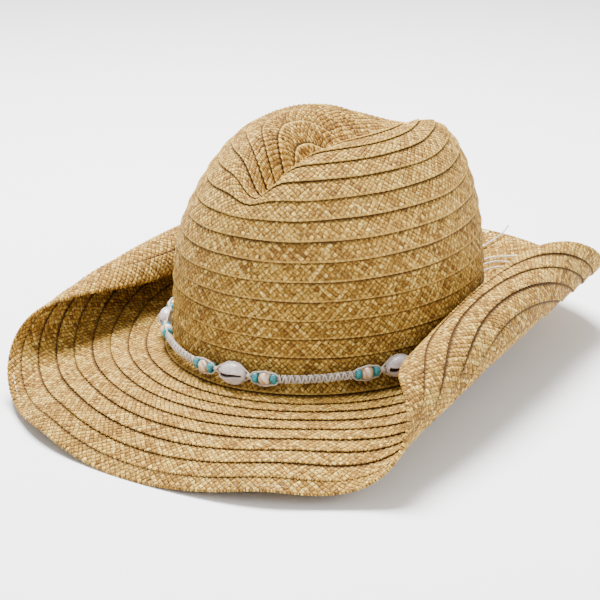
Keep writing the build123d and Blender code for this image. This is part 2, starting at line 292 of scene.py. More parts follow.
def turquoise_material():
    """Dyed stone with darker veins."""
    s = Shader("turquoise", Roughness=0.28, Specular_IOR_Level=0.50, Coat_Weight=0.25)
    place = s.node("ShaderNodeTexCoord").outputs["Object"]
    cloud = s.noise(place, 420.0, 4.0)
    veins = s.node("ShaderNodeTexVoronoi", {"feature": "DISTANCE_TO_EDGE"}, Vector=place, Scale=520.0)
    colour = s.ramp(cloud, (0.30, (0.004, 0.13, 0.17)), (0.55, (0.008, 0.27, 0.31)),
                    (0.75, (0.03, 0.42, 0.43)))
    vein = s.between(veins.outputs["Distance"], 0.0, 0.10, 0.55, 0.0)
    colour = s.mix(vein, colour, (0.05, 0.13, 0.13))
    return s.finish(colour, cloud, 0.05)


def cream_material():
    """Polished cream stone with faint tan bands."""
    s = Shader("cream_stone", Roughness=0.30, Specular_IOR_Level=0.50, Coat_Weight=0.20)
    place = s.node("ShaderNodeTexCoord").outputs["Object"]
    diagonal = {"bands_direction": "DIAGONAL"}
    bands = s.node("ShaderNodeTexWave", diagonal, Vector=place, Scale=95.0, Distortion=7.0)
    cloud = s.noise(place, 300.0, 3.0)
    colour = s.ramp(bands.outputs["Fac"], (0.15, (0.52, 0.27, 0.12)), (0.45, (0.70, 0.52, 0.35)),
                    (0.9, (0.76, 0.66, 0.54)))
    colour = s.mix(s.between(cloud, 0.45, 0.7, 0.0, 0.5), colour, (0.74, 0.66, 0.56))
    return s.finish(colour, cloud, 0.04)


def cowrie_material():
    """Glossy mottled shell, with painted shade inside the slit and between its teeth."""
    s = Shader("cowrie_shell", Roughness=0.26, Specular_IOR_Level=0.55, Coat_Weight=0.30)
    place = s.node("ShaderNodeTexCoord").outputs["Object"]
    cloud = s.noise(place, 240.0, 3.0)
    colour = s.ramp(cloud, (0.30, (0.44, 0.35, 0.33)), (0.62, (0.64, 0.57, 0.55)))
    slit = s.attribute("slit").outputs["Fac"]
    # Painted shade in the slit and in the grooves between the teeth.
    colour = s.mix(s.between(slit, 0.10, 0.80), colour, (0.040, 0.018, 0.010))
    return s.finish(colour, cloud, 0.05)


def ribbon_material():
    """Ribbed cotton ribbon."""
    s = Shader("ribbon", Roughness=0.85, Specular_IOR_Level=0.20, Sheen_Weight=0.30)
    plait = s.node("ShaderNodeSeparateXYZ", Vector=s.attribute("plait").outputs["Vector"])
    ribs = s.math("SINE", s.math("MULTIPLY", plait.outputs[0], 2 * pi))
    fuzz = s.noise(s.join(plait.outputs[0], s.math("MULTIPLY", plait.outputs[1], 4.0)), 1.3, 3.0)
    colour = s.ramp(fuzz, (0.3, (0.60, 0.50, 0.36)), (0.7, (0.80, 0.71, 0.55)))
    # Painted shade in the troughs between the ribs.
    colour = s.mix(s.between(ribs, -1.0, -0.3, 0.35, 0.0), colour, (0.35, 0.27, 0.17))
    return s.finish(colour, s.math("ADD", ribs, fuzz), 0.15)


def metal_material(name, colour, roughness):
    """Drawn metal with fine marks."""
    s = Shader(name, Metallic=1.0, Roughness=roughness)
    place = s.node("ShaderNodeTexCoord").outputs["Object"]
    marks = s.noise(place, 900.0, 4.0)
    dull = tuple(0.6 * part for part in colour)
    return s.finish(s.ramp(marks, (0.35, dull), (0.65, colour)), marks, 0.02)


straw = straw_material()
cord_white = cord_material()
turquoise = turquoise_material()
cream = cream_material()
shell = cowrie_material()
ribbon = ribbon_material()
steel = metal_material("spring_steel", (0.56, 0.56, 0.58), 0.32)
brass = metal_material("brass_sleeve", (0.72, 0.55, 0.28), 0.38)


# ---- Mesh helpers ---------------------------------------------------------
def make_mesh(name, points, faces, material, corner=None, point=None):
    """Object from millimetre points, with attributes given by face corner or by point."""
    mesh = bpy.data.meshes.new(name)
    faces = np.asarray(faces)
    mesh.vertices.add(len(points))
    mesh.vertices.foreach_set("co", (np.asarray(points) * MM).astype(np.float32).ravel())
    mesh.loops.add(faces.size)
    mesh.loops.foreach_set("vertex_index", faces.ravel().astype(np.int32))
    mesh.polygons.add(len(faces))
    starts = np.arange(0, faces.size, faces.shape[1], dtype=np.int32)
    mesh.polygons.foreach_set("loop_start", starts)
    mesh.update(calc_edges=True)
    mesh.polygons.foreach_set("use_smooth", np.ones(len(faces), bool))
    if corner is not None:
        layer = mesh.attributes.new("plait", "FLOAT_VECTOR", "CORNER")
        layer.data.foreach_set("vector", corner.astype(np.float32).ravel())
    for key, values in (point or {}).items():
        layer = mesh.attributes.new(key, "FLOAT", "POINT")
        layer.data.foreach_set("value", np.asarray(values).astype(np.float32))
    mesh.materials.append(material)
    made = bpy.data.objects.new(name, mesh)
    bpy.context.scene.collection.objects.link(made)
    return made


def tube(path, radius, sides=8, closed=False):
    """Points and quads of a round tube along a path, millimetres."""
    path = np.asarray(path, float)
    if closed:
        heading = np.roll(path, -1, 0) - np.roll(path, 1, 0)
    else:
        heading = np.gradient(path, axis=0)
    heading /= np.linalg.norm(heading, axis=1)[:, None]
    normal = np.cross(heading[0], (0.31, 0.52, 0.79))
    normals = []
    for direction in heading:
        normal = normal - direction * normal.dot(direction)
        normal = normal / np.linalg.norm(normal)
        normals.append(normal)
    normals = np.array(normals)
    other = np.cross(heading, normals)
    spin = np.arange(sides) * 2 * pi / sides
    rings = path[:, None] + radius * (
        np.cos(spin)[None, :, None] * normals[:, None] + np.sin(spin)[None, :, None] * other[:, None]
    )
    count = len(path)
    ring = np.arange(count if closed else count - 1)
    i, j = np.meshgrid(ring, np.arange(sides), indexing="ij")
    after, beside = (i + 1) % count, (j + 1) % sides
    faces = np.stack([i * sides + j, i * sides + beside, after * sides + beside, after * sides + j], -1)
    points = rings.reshape(-1, 3)
    faces = faces.reshape(-1, 4)
    if not closed:
        points = np.vstack([points, path[0], path[-1]])
        j, beside = np.arange(sides), (np.arange(sides) + 1) % sides
        first, last = len(points) - 2, len(points) - 1
        base = (count - 1) * sides
        caps = [np.stack([np.full(sides, first), beside, j, j], -1),
                np.stack([np.full(sides, last), base + j, base + beside, base + beside], -1)]
        faces = np.vstack([faces, *caps])
    return points, faces


def merge(parts):
    """Several (points, faces) as one."""
    points, faces, total = [], [], 0
    for some, quads in parts:
        points.append(some)
        faces.append(np.asarray(quads) + total)
        total += len(some)
    return np.vstack(points), np.vstack(faces)


def triangles(faces):
    """Quads cut into triangles, without the flat ones that a cap leaves."""
    cut = np.vstack([faces[:, [0, 1, 2]], faces[:, [0, 2, 3]]])
    return cut[(cut[:, 0] != cut[:, 1]) & (cut[:, 1] != cut[:, 2]) & (cut[:, 0] != cut[:, 2])]


# ---- The two sheets that the rows lie on ------------------------------------
TURNS = 1440
turns = np.arange(TURNS) * 2 * pi / TURNS


def oval(turn, reach=0.0):
    """Flat point of the crown's foot, or reach outside it, and its outward direction."""
    foot = np.stack([HALF_WIDTH * np.sin(turn), -HALF_LENGTH * np.cos(turn)], -1)
    out = np.stack([np.sin(turn) / HALF_WIDTH, -np.cos(turn) / HALF_LENGTH], -1)
    out /= np.linalg.norm(out, axis=-1, keepdims=True)
    return foot + out * np.asarray(reach)[..., None]


def walk(length, slope):
    """Follow a sheet for length where its slope in radians is slope(distance)."""
    steps = (np.arange(40) + 0.5) / 40
    angle = slope(length[..., None] * steps)
    return np.cos(angle).mean(-1) * length, np.sin(angle).mean(-1) * length


def brim_place(turn, reach):
    """Point of the brim's upper face."""
    left_front = np.maximum(np.cos(turn - radians(295)), 0) ** 4
    right_front = np.maximum(np.cos(turn - radians(72)), 0) ** 10
    right_back = np.maximum(np.cos(turn - radians(120)), 0) ** 4
    flat = oval(turn, reach * (1 + (0.03 * left_front + 0.05 * right_front) - 0.09 * right_back))
    flat_x, flat_y = flat[..., 0], flat[..., 1]
    station = flat_y / HALF_LENGTH
    left = smooth(-flat_x / 40)
    start = ROLL_START + LEFT_ROLL_START * left - 4.75 * station**2 - 3.0 * station
    ends = smooth((np.abs(flat_y) - HALF_LENGTH) / 75)
    tightness = (1 - 0.12 * station) * (1 - 0.5 * ends) / (ROLL_RADIUS - LEFT_ROLL_TIGHTER * left)
    front, middle, back = (radians(slope) for slope in SIDE_SLOPES)
    share = flat_y / 150
    side = middle + (back - front) / 2 * share + ((back + front) / 2 - middle) * share**2
    ease = ROLL_EASE

    def across_slope(s):
        past = s - start[..., None]
        eased = np.where(np.abs(past) < ease, (past + ease) ** 2 / (4 * ease), np.maximum(past, 0))
        return side[..., None] * smooth((s - 55) / 35) + eased * tightness[..., None]

    def along_slope(s):
        share = s / (BRIM_WIDTH + 10)
        dip = -radians(FRONT_DROOP) * share**2.35
        return np.where(flat_y[..., None] < 0, dip, radians(BACK_RISE) * share)

    x, side_z = walk(np.abs(flat_x), across_slope)
    y, end_z = walk(np.maximum(np.abs(flat_y) - 90, 0), along_slope)
    y = y + np.minimum(np.abs(flat_y), 90)
    inside = np.clip(BREAK_RADIUS - reach, 0, BREAK_RADIUS)
    lift = BREAK_RADIUS - np.sqrt(BREAK_RADIUS**2 - inside**2)
    wave = 0.5 * np.sin(5 * turn + 1.0) * smooth(reach / 60)
    return np.stack([x * np.sign(flat_x), y * np.sign(flat_y), side_z + end_z + lift + wave], -1)


def crown_place(turn, climb):
    """Point of the crown's outer face; climb is the distance up the wall from the brim break."""
    quarter = np.linspace(0, pi / 2, 400)
    share = np.cos(quarter) ** (2 / CROWN_SQUARENESS)
    rise = np.sin(quarter) ** (2 / CROWN_SQUARENESS)
    girth = (HALF_LENGTH + HALF_WIDTH) / 2 * (1 - 0.036 * rise)
    steps = np.hypot(np.diff(share * girth), np.diff(rise * CROWN_HEIGHT))
    travelled = np.concatenate([[0], np.cumsum(steps)])
    r = np.interp(climb, travelled, share)
    z = np.interp(climb, travelled, rise)
    x = HALF_WIDTH * (1 + 0.05 * z - 0.194 * z * z) * r * np.sin(turn)
    y = -HALF_LENGTH * (1 + 0.0245 * z * z) * r * np.cos(turn)
    back = y / HALF_LENGTH
    height = CROWN_HEIGHT * z + 1.7 * z * np.cos(2 * turn) + 6.4 * z * back
    width = 10.7 + 9.4 * (back + 1)
    depth = np.maximum(CREASE_DEPTH - 0.5 * back - 39.8 * back**2, 0)
    height = height - depth * np.exp(-((x / width) ** 2)) * smooth((z - 0.686) / 0.314)
    squeeze = smooth((-back + 0.17) / 1.07) * smooth((z - 0.45) / 0.5)
    x = x * (1 - (PINCH - LEFT_PINCH_EASE * smooth(-x / 40)) * squeeze)
    y = y + 5.9 * smooth(-back) * smooth((z - 0.4) / 0.6) * np.exp(-((x / 35) ** 2))

    bend = np.clip((BREAK_RADIUS - climb) / BREAK_RADIUS, 0, pi / 2)
    flare = oval(turn, BREAK_RADIUS * (1 - np.cos(bend)))
    foot = brim_place(turn, np.zeros_like(turn))[..., 2] - BREAK_RADIUS
    low = BREAK_RADIUS * (1 - np.sin(bend)) + foot * smooth(bend / 1.13)
    in_bend = climb < BREAK_RADIUS
    return np.stack([np.where(in_bend, flare[..., 0], x), np.where(in_bend, flare[..., 1], y),
                     np.where(in_bend, low, height)], -1)


class Sheet:
    """A surface kept as a fine grid of turns and distances, with its normals."""

    def __init__(self, place, low, high, sign):
        self.low, self.high, self.count = low, high, int((high - low) / 0.5) + 1
        spots = np.linspace(low, high, self.count)
        grid_turn, grid_spot = np.meshgrid(turns, spots, indexing="ij")
        self.points = place(grid_turn, grid_spot)
        by_turn = np.roll(self.points, -1, 0) - np.roll(self.points, 1, 0)
        by_spot = np.gradient(self.points, axis=1)
        normals = np.cross(by_turn, by_spot) * sign
        self.normals = normals / np.maximum(np.linalg.norm(normals, axis=-1, keepdims=True), 1e-9)

    def read(self, turn, spot, offset=0.0):
        """Points at those turns and distances, offset outwards."""
        i = (turn / (2 * pi) * TURNS) % TURNS
        j = np.clip((spot - self.low) / (self.high - self.low), 0, 1) * (self.count - 1)
        i0, j0 = np.floor(i).astype(int), np.minimum(np.floor(j).astype(int), self.count - 2)
        fi, fj = (i - i0)[..., None], (j - j0)[..., None]
        i0, i1 = i0 % TURNS, (i0 + 1) % TURNS

        def blend(grid):
            near = grid[i0, j0] * (1 - fj) + grid[i0, j0 + 1] * fj
            far = grid[i1, j0] * (1 - fj) + grid[i1, j0 + 1] * fj
            return near * (1 - fi) + far * fi

        return blend(self.points) + blend(self.normals) * np.asarray(offset)[..., None]


brim_sheet = Sheet(brim_place, 0.0, BRIM_WIDTH + 1.0, -1)
crown_sheet = Sheet(crown_place, -3.0, CROWN_CLIMB, 1)


# ---- Braid --------------------------------------------------------------
def braid_row(sheet, inner, outer, number, thickness=STRAW, under_rings=0, tilt=1.0, free=False):
    """One closed row of braid from under the row before (inner) to its own lip (outer).

    under_rings makes the underside coarser, where it is hidden; tilt is how steeply the row
    laps the next; free marks an outermost row, which no other row shades.
    """
    heading = 1 if outer > inner else -1
    start = inner - heading * TUCK
    width = abs(outer - start)
    top_rings = int(round(width / (CELL / 4))) + 1
    low_rings = under_rings or top_rings
    if (top_rings + low_rings) % 2:
        low_rings += 1
    share_top = np.linspace(0, 1, top_rings)
    share_low = np.linspace(1, 0, low_rings)
    share = np.concatenate([share_top, [1.0], share_low, [0.0]])
    beyond = np.zeros(len(share))
    beyond[top_rings] = 0.45
    beyond[-1] = -0.20
    spot = start + heading * (share * width + beyond)
    top = (-1.25 + 1.05 * share) * tilt + (1 - tilt) * 0.05
    level = np.concatenate([np.zeros(top_rings), [-0.5], -np.ones(low_rings), [-0.5]])
    offset = top + level * thickness
    is_top = np.concatenate([np.ones(top_rings), [0.5], np.zeros(low_rings), [0.5]])
    # lip runs from 0 where the row comes out from under its neighbour's lip to 1 at its own lip; the straw
    # shader paints the shadow beside each lip from it.
    lip = np.where(is_top > 0.4, np.clip((share * width - TUCK) / (width - TUCK), 0, 1),
                   np.clip(1 - share * width / (width - TUCK), 0, 1))
    # The edge row's underside has no neighbour over it, so it gets no painted shadow.
    if free:
        lip = np.where(is_top > 0.4, lip, 0.6)
    rings = len(share)

    fine = np.arange(TURNS + 1) * 2 * pi / TURNS
    middle = sheet.read(fine, np.full(TURNS + 1, np.clip((inner + outer) / 2, sheet.low, sheet.high)))
    travelled = np.concatenate([[0], np.cumsum(np.linalg.norm(np.diff(middle, axis=0), axis=1))])
    cells = max(int(round(travelled[-1] / CELL)), 6)
    columns = 2 * cells
    along = (np.arange(columns)[None] + 0.5 * (np.arange(rings) % 2)[:, None]) / 2
    turn = np.interp((along / cells) % 1.0 * travelled[-1], travelled, fine)
    across = np.broadcast_to((share * width / CELL)[:, None], along.shape)

    raised = np.abs(np.sin(pi * (along + across)) * np.sin(pi * (along - across)))
    ripple = 0.16 * np.sin(3 * turn + 2.1 * number) + 0.10 * np.sin(11 * turn + 1.3 * number)
    scallop = np.abs(np.sin(pi * along)) * np.clip(lip - 0.88, 0, 0.12)[:, None] / 0.12
    spots = spot[:, None] + heading * (0.45 * scallop + ripple)
    sign = np.where(is_top > 0.4, 1.0, -1.0)[:, None]
    weave = WEAVE * (raised - 0.35) * (1.0 if not under_rings else np.where(is_top > 0.4, 1, 0.3)[:, None])
    offsets = offset[:, None] + sign * (weave + 0.25 * scallop) + 0.06 * np.sin(7 * turn + 0.9 * number)
    points = sheet.read(turn, spots, offsets)

    ring, column = np.meshgrid(np.arange(rings), np.arange(columns), indexing="ij")
    after = (ring + 1) % rings
    beside = (column + 1) % columns
    shifted = ring % 2 == 1

    def index(r, c):
        return r * columns + c

    first = np.where(shifted[..., None],
                     np.stack([index(ring, column), index(after, beside), index(after, column)], -1),
                     np.stack([index(ring, column), index(ring, beside), index(after, column)], -1))
    second = np.where(shifted[..., None],
                      np.stack([index(ring, column), index(ring, beside), index(after, beside)], -1),
                      np.stack([index(ring, beside), index(after, beside), index(after, column)], -1))
    faces = np.concatenate([first.reshape(-1, 3), second.reshape(-1, 3)])
    place = np.stack([along, across, np.full(along.shape, float(number))], -1).reshape(-1, 3)
    corner = place[faces]
    base = faces[:, :1] % columns
    wrapped = (faces % columns < base - columns // 2)
    corner[..., 0] += np.where(wrapped, cells, 0)
    wrapped = (faces % columns > base + columns // 2)
    corner[..., 0] -= np.where(wrapped, cells, 0)

    flat = points.reshape(-1, 3)
    probe = faces[(faces // columns).max(1) < top_rings]
    normal = np.cross(flat[probe[:, 1]] - flat[probe[:, 0]], flat[probe[:, 2]] - flat[probe[:, 0]])
    out = sheet.read(turn, spots, offsets + 1).reshape(-1, 3) - flat
    if (normal * out[probe[:, 0]]).sum() < 0:
        faces, corner = faces[:, ::-1], corner[:, ::-1]
    return flat, faces, corner, np.repeat(lip, columns)


def sew(name, sheet, seams, first_number, node_names, **options):
    """Several rows as one piece."""
    flats, faces, corners, lips, total = [], [], [], [], 0
    for number, (inner, outer) in enumerate(zip(seams, seams[1:]), first_number):
        flat, tri, corner, lip = braid_row(sheet, inner, outer, number, **options)
        flats.append(flat)
        faces.append(tri + total)
        corners.append(corner)
        lips.append(lip)
        total += len(flat)
    made = make_mesh(name, np.vstack(flats), np.vstack(faces), straw, np.concatenate(corners),
                     {"lip": np.concatenate(lips)})
    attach(made, "hat")
    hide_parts(*node_names)
    return made


break_seam = BREAK_RADIUS - BREAK_RADIUS * np.arccos(1 - 4.6 / BREAK_RADIUS)
rows_up = int((CROWN_CLIMB - FIRST_SEAM) / CROWN_ROW)
wall_seams = [FIRST_SEAM + CROWN_ROW * i for i in range(rows_up, -1, -1)]
crown_seams = [CROWN_CLIMB, *wall_seams, break_seam]
brim_seams = [BRIM_WIDTH - EDGE_ROW - BRIM_ROW * i for i in range(BRIM_ROWS, -1, -1)]
sew("crown_top_braid", crown_sheet, crown_seams[:-WALL_ROWS], 0, ["crown"], under_rings=5)
sew("crown_wall_braid", crown_sheet, crown_seams[-WALL_ROWS - 1:], 30, ["crown"], under_rings=5)
sew("brim_inner_braid", brim_sheet, brim_seams[:INNER_ROWS], FIRST_BRIM_ROW, ["brim"])
sew("brim_outer_braid", brim_sheet, brim_seams[INNER_ROWS - 1:], 80, ["brim"])
edge_seams = [brim_seams[-1], BRIM_WIDTH]
sew("brim_edge_braid", brim_sheet, edge_seams, 100, ["brim"], thickness=1.5, tilt=0.6, free=True)


# ---- Wire, sleeve and sweatband ----------------------------------------------
WIRE_GAP = 0.004
wire_turns = pi + WIRE_GAP + (2 * pi - 2 * WIRE_GAP) * np.linspace(0, 1, 361)
wire_path = brim_sheet.read(wire_turns, np.full(361, BRIM_WIDTH - 3.0), np.full(361, -0.9))
wire_points, wire_faces = tube(wire_path, 0.5, 8)
wire = make_mesh("brim_wire", wire_points, triangles(wire_faces), steel)
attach(wire, "hat")
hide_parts("edge_wire")
nodes["wire_joiner"].data.materials.clear()
nodes["wire_joiner"].data.materials.append(brass)


def sweatband():
    """Ribbed ribbon round the inside of the crown's foot, sewn along its lower edge."""
    low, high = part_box("sweatband")
    half_x, half_y = high.x / MM, high.y / MM
    columns, rings = 360, 13
    turn = np.arange(columns) * 2 * pi / columns
    rise = np.linspace(low.z / MM + 0.4, high.z / MM, rings)
    share = np.linspace(0, 1, rings)[:, None]
    pull = 0.5 * share * np.sin(9 * turn + 1.0) + 0.25 * share * np.sin(23 * turn)
    inset = 0.4 + 1.2 * share + pull
    x = (half_x - inset) * np.sin(turn)
    y = -(half_y - inset) * np.cos(turn)
    points = np.stack([x, y, np.broadcast_to(rise[:, None], x.shape)], -1).reshape(-1, 3)
    ring, column = np.meshgrid(np.arange(rings - 1), np.arange(columns), indexing="ij")
    beside = (column + 1) % columns
    faces = np.stack([ring * columns + column, (ring + 1) * columns + column,
                      (ring + 1) * columns + beside, ring * columns + beside], -1).reshape(-1, 4)
    ribs = 2 * pi * 89 / 1.5 / columns
    place = np.stack([(column * ribs), ring * 2.3, ring * 0.0], -1).reshape(-1, 3)
    step = np.array([[0, 0, 0], [0, 2.3, 0], [ribs, 2.3, 0], [ribs, 0, 0]])
    made = make_mesh("sweatband_ribbon", points, faces, ribbon, place[:, None] + step)
    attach(made, "hat")
    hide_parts("sweatband")


sweatband()


# ---- Hatband --------------------------------------------------------------
half_length = HALF_LENGTH + BAND_GAP
half_width = HALF_WIDTH + BAND_GAP
end_centre = half_length - BAND_END_RADIUS
side_radius = (half_width**2 + end_centre**2 - BAND_END_RADIUS**2) / (2 * (half_width - BAND_END_RADIUS))
side_centre = side_radius - half_width
end_turn = atan2(side_centre, end_centre)
end_arc = BAND_END_RADIUS * end_turn
band_length = 4 * (end_arc + side_radius * (pi / 2 - end_turn))


def band_point(along, rise=0.0, outwards=0.0):
    """Point beside the hatband's oval; along is measured from the front, positive towards +X."""
    along = (along + band_length / 2) % band_length - band_length / 2
    quarter = abs(along)
    at_back = quarter > band_length / 4
    if at_back:
        quarter = band_length / 2 - quarter
    if quarter < end_arc:
        turn, centre, radius = quarter / BAND_END_RADIUS, (0, -end_centre), BAND_END_RADIUS
    else:
        turn, centre, radius = end_turn + (quarter - end_arc) / side_radius, (-side_centre, 0), side_radius
    x = centre[0] + (radius + outwards) * sin(turn)
    y = centre[1] - (radius + outwards) * cos(turn)
    z = BAND_HEIGHT + BAND_SIDE_RISE * sin(turn) ** 2 + rise
    return np.array([x if along > 0 else -x, -y if at_back else y, z])


def band_frame(along):
    """Centre, heading, outward and up directions of the band at one place."""
    heading = band_point(along + 0.5) - band_point(along - 0.5)
    heading /= np.linalg.norm(heading)
    out = np.cross(heading, (0, 0, 1))
    out /= np.linalg.norm(out)
    return band_point(along), heading, out, np.cross(out, heading)


def through(keys, step=0.5):
    """Smooth line of (along, rise, outwards) triples through the given ones."""
    keys = np.asarray(keys, float)
    padded = np.vstack([2 * keys[0] - keys[1], keys, 2 * keys[-1] - keys[-2]])
    line = []
    for a, b, c, d in zip(padded, padded[1:], padded[2:], padded[3:]):
        count = max(int(abs(c[0] - b[0]) / step), 2)
        for t in np.arange(count) / count:
            line.append(0.5 * (2 * b + (c - a) * t + (2 * a - 5 * b + 4 * c - d) * t**2
                               + (3 * b - a - 3 * c + d) * t**3))
    line.append(keys[-1])
    return [band_point(*spot) for spot in line]


def band_piece(name, parts, material, replaced=()):
    """Mesh that rides on the hatband."""
    points, faces = merge(parts)
    made = make_mesh(name, points, triangles(faces), material)
    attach(made, "hatband")
    if replaced:
        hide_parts(*replaced)
    return made



def square_knots(number, start, end):
    """Two knotting cords tied in square knots round the core cords."""
    count = int(round((end - start) / HALF_KNOT))
    t = np.linspace(0, count, count * 12 + 1)
    along = start + (end - start) * t / count
    swing = np.cos(pi * t)
    over = np.sin(pi * t) ** 2
    front = [band_point(s, 2.0 * w, 0.55 + 1.05 * o) for s, w, o in zip(along, swing, over)]
    behind = [band_point(s, -2.05 * w, 0.75 - 2.1 * o) for s, w, o in zip(along + 0.35, swing, over)]
    band_piece(f"square_knots_{number}", [tube(front, 0.52, 7), tube(behind, 0.52, 7)], cord_white,
               [f"macrame_{number}"])


def hitch(along):
    """Small tight knot: three wraps round the cords."""
    t = np.linspace(0, 6 * pi, 60)
    path = [
        band_point(along - 1.2 + 2.4 * turn / (6 * pi), 1.15 * sin(turn), 0.15 + 1.05 * cos(turn))
        for turn in t
    ]
    return tube(path, 0.45, 6)


def trio_cords(along):
    """The two knotting cords past three beads, above and below them."""
    reach = TRIO_HALF
    made = []
    for way, out in ((1, 1.1), (-1, 0.9)):
        keys = [(along - reach - 1.0, 0.9 * way, 0.6), (along - reach + 0.6, 2.9 * way, out),
                (along - 3.4, 3.50 * way, out), (along, 4.1 * way, out + 0.1),
                (along + 3.4, 3.50 * way, out), (along + reach - 0.6, 2.9 * way, out),
                (along + reach + 1.0, 0.9 * way, 0.6)]
        made.append(tube(through(keys), 0.48, 7))
    return made


def cowrie_cords(along):
    """The knotting cords behind a shell, close to its edge."""
    made = []
    for way in (1, -1):
        keys = [(along - 10.8, 0.8 * way, 0.2), (along - 7.5, 3.0 * way, -0.4),
                (along - 3.0, 5.4 * way, -1.6), (along + 3.0, 5.4 * way, -1.6),
                (along + 7.5, 3.0 * way, -0.4), (along + 10.8, 0.8 * way, 0.2)]
        made.append(tube(through(keys), 0.48, 7))
    return made


def cowrie(number, along):
    """Shell with a toothed slit in its face, cut off at the back."""
    spokes, front_rings = 96, 44
    share = np.concatenate([np.linspace(0, 1, front_rings) ** 0.8, [0.985, 0.95, 0.90, 0.45, 0.0]])
    turn = np.arange(spokes) * 2 * pi / spokes
    r, phi = np.meshgrid(share, turn, indexing="ij")
    x = 8.2 * r * np.cos(phi)
    z = 6.2 * r * np.sin(phi) * (1 + 0.10 * np.cos(phi))
    out = 4.9 * np.sqrt(np.clip(1 - r**2, 0, 1)) ** 0.85
    centre = 0.35 * np.sin(x * 0.42)
    away = z - centre
    reach = smooth((7.4 - np.abs(x)) / 1.6)
    slit = np.exp(-((away / (0.80 - 0.045 * x)) ** 4)) * reach
    teeth = 0.30 * np.cos(2 * pi * x / 1.15) * np.exp(-(((np.abs(away) - 1.5) / 0.75) ** 2)) * reach
    lips = 0.35 * np.exp(-(((np.abs(away) - 1.3) / 0.9) ** 2)) * reach
    out = out - 2.6 * slit + teeth + lips
    # The grooves between the teeth join the slit mask, which the shell shader darkens as painted shade.
    slit = np.clip(slit + 1.1 * np.maximum(-teeth, 0), 0, 1)
    ring_count = len(share)
    for ring, depth in zip(range(front_rings, ring_count), (-0.5, -1.1, -1.7, -1.7, -1.7)):
        out[ring], slit[ring] = depth, 0
    origin, heading, outward, up = band_frame(along)
    points = origin + x[..., None] * heading + out[..., None] * outward + z[..., None] * up
    ring, spoke = np.meshgrid(np.arange(ring_count - 1), np.arange(spokes), indexing="ij")
    beside = (spoke + 1) % spokes
    quads = np.stack([ring * spokes + spoke, (ring + 1) * spokes + spoke,
                      (ring + 1) * spokes + beside, ring * spokes + beside], -1).reshape(-1, 4)
    made = make_mesh(f"cowrie_shell_{number}", points.reshape(-1, 3), triangles(quads), shell,
                     point={"slit": slit.ravel()})
    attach(made, "hatband")
    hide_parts(f"cowrie_{number}")


cowries = [FRONT_COWRIE + UNIT * i for i in range(-2, 3)]
trios = [place + side * TRIO_OFFSET for place in cowries for side in (-1, 1)]
trios = [trios[0] - UNIT + 2 * TRIO_OFFSET, *trios, trios[-1] + UNIT - 2 * TRIO_OFFSET]
for number, (before, after) in enumerate(zip(trios[0::2], trios[1::2]), 1):
    square_knots(number, before + TRIO_HALF + 0.8, after - TRIO_HALF - 0.8)
for number, along in enumerate(cowries, 1):
    cowrie(number, along)
    parts = cowrie_cords(along) + [hitch(along - 10.4), hitch(along + 10.4)]
    band_piece(f"shell_cords_{number}", parts, cord_white)
for number, along in enumerate(trios, 1):
    band_piece(f"bead_cords_{number}", trio_cords(along), cord_white)

ends = []
for way in (1, -1):
    ends.append(tube(through([(trios[-1] + 7.8, 0.9 * way, 0.6), (trios[-1] + 13, 0.9 * way, 0.8),
                              (KNOT_AT - 1, 0.9 * way, 0.6)]), 0.48, 7))
    ends.append(tube(through([(KNOT_AT + 1 - band_length, 0.9 * way, 0.6), (-300, 1.1 * way, 0.8),
                              (-275, 0.9 * way, 0.8), (trios[0] - 7.8, 0.9 * way, 0.6)]), 0.48, 7))
ends.append(hitch(trios[0] - 8.2))
ends.append(hitch(trios[-1] + 8.2))
band_piece("end_cords", ends, cord_white)


def knot():
    """The knot that closes the band: a cord wound through itself."""
    origin, heading, outward, up = band_frame(KNOT_AT)
    t = np.arange(120) * 2 * pi / 120
    loops = []
    for size, shift in ((1.0, 0.0), (0.82, 0.5)):
        x = 1.15 * size * (np.sin(t) + 2 * np.sin(2 * t))
        z = 0.85 * size * (np.cos(t) - 2 * np.cos(2 * t))
        out = -1.25 * size * np.sin(3 * t) + shift
        path = origin + x[:, None] * heading + z[:, None] * up + out[:, None] * outward
        loops.append(tube(path, 0.75, 8, closed=True))
    band_piece("band_knot", loops, cord_white, ["knot"])


knot()

for name, node in nodes.items():
    if name.startswith("core_cord"):
        node.data.materials.clear()
        node.data.materials.append(cord_white)


def bead(name, along, radius, length, fullness, material):
    """Drilled bead, turned about the cords; a higher fullness makes it squarer."""
    sides, steps, hole = 40, 22, 1.45
    edge = np.arccos((hole / radius) ** (fullness / 2))
    sweep = np.linspace(-edge, edge, steps)
    r = radius * np.abs(np.cos(sweep)) ** (2 / fullness)
    x = np.sign(sweep) * np.abs(np.sin(sweep)) ** (2 / fullness)
    x = x / x.max() * length / 2
    origin, heading, outward, up = band_frame(along)
    turn = np.arange(sides) * 2 * pi / sides
    round_it = np.cos(turn)[:, None] * outward + np.sin(turn)[:, None] * up
    middle = origin + BEAD_OUTWARDS * outward
    points = middle + x[:, None, None] * heading + r[:, None, None] * round_it[None]
    i, j = np.meshgrid(np.arange(steps), np.arange(sides), indexing="ij")
    after, beside = (i + 1) % steps, (j + 1) % sides
    quads = np.stack([i * sides + j, i * sides + beside, after * sides + beside, after * sides + j], -1)
    made = make_mesh(f"{name}_stone", points.reshape(-1, 3), triangles(quads.reshape(-1, 4)), material)
    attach(made, "hatband")
    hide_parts(name)


for number, along in enumerate(trios, 1):
    bead(f"round_bead_{number}", along, 3.60, 6.4, 2.3, cream)
    for letter, way in (("a", -1), ("b", 1)):
        place = along + BEAD_PITCH * way
        bead(f"ring_bead_{number}{letter}", place, 3.05, 3.2, 3.2, turquoise)

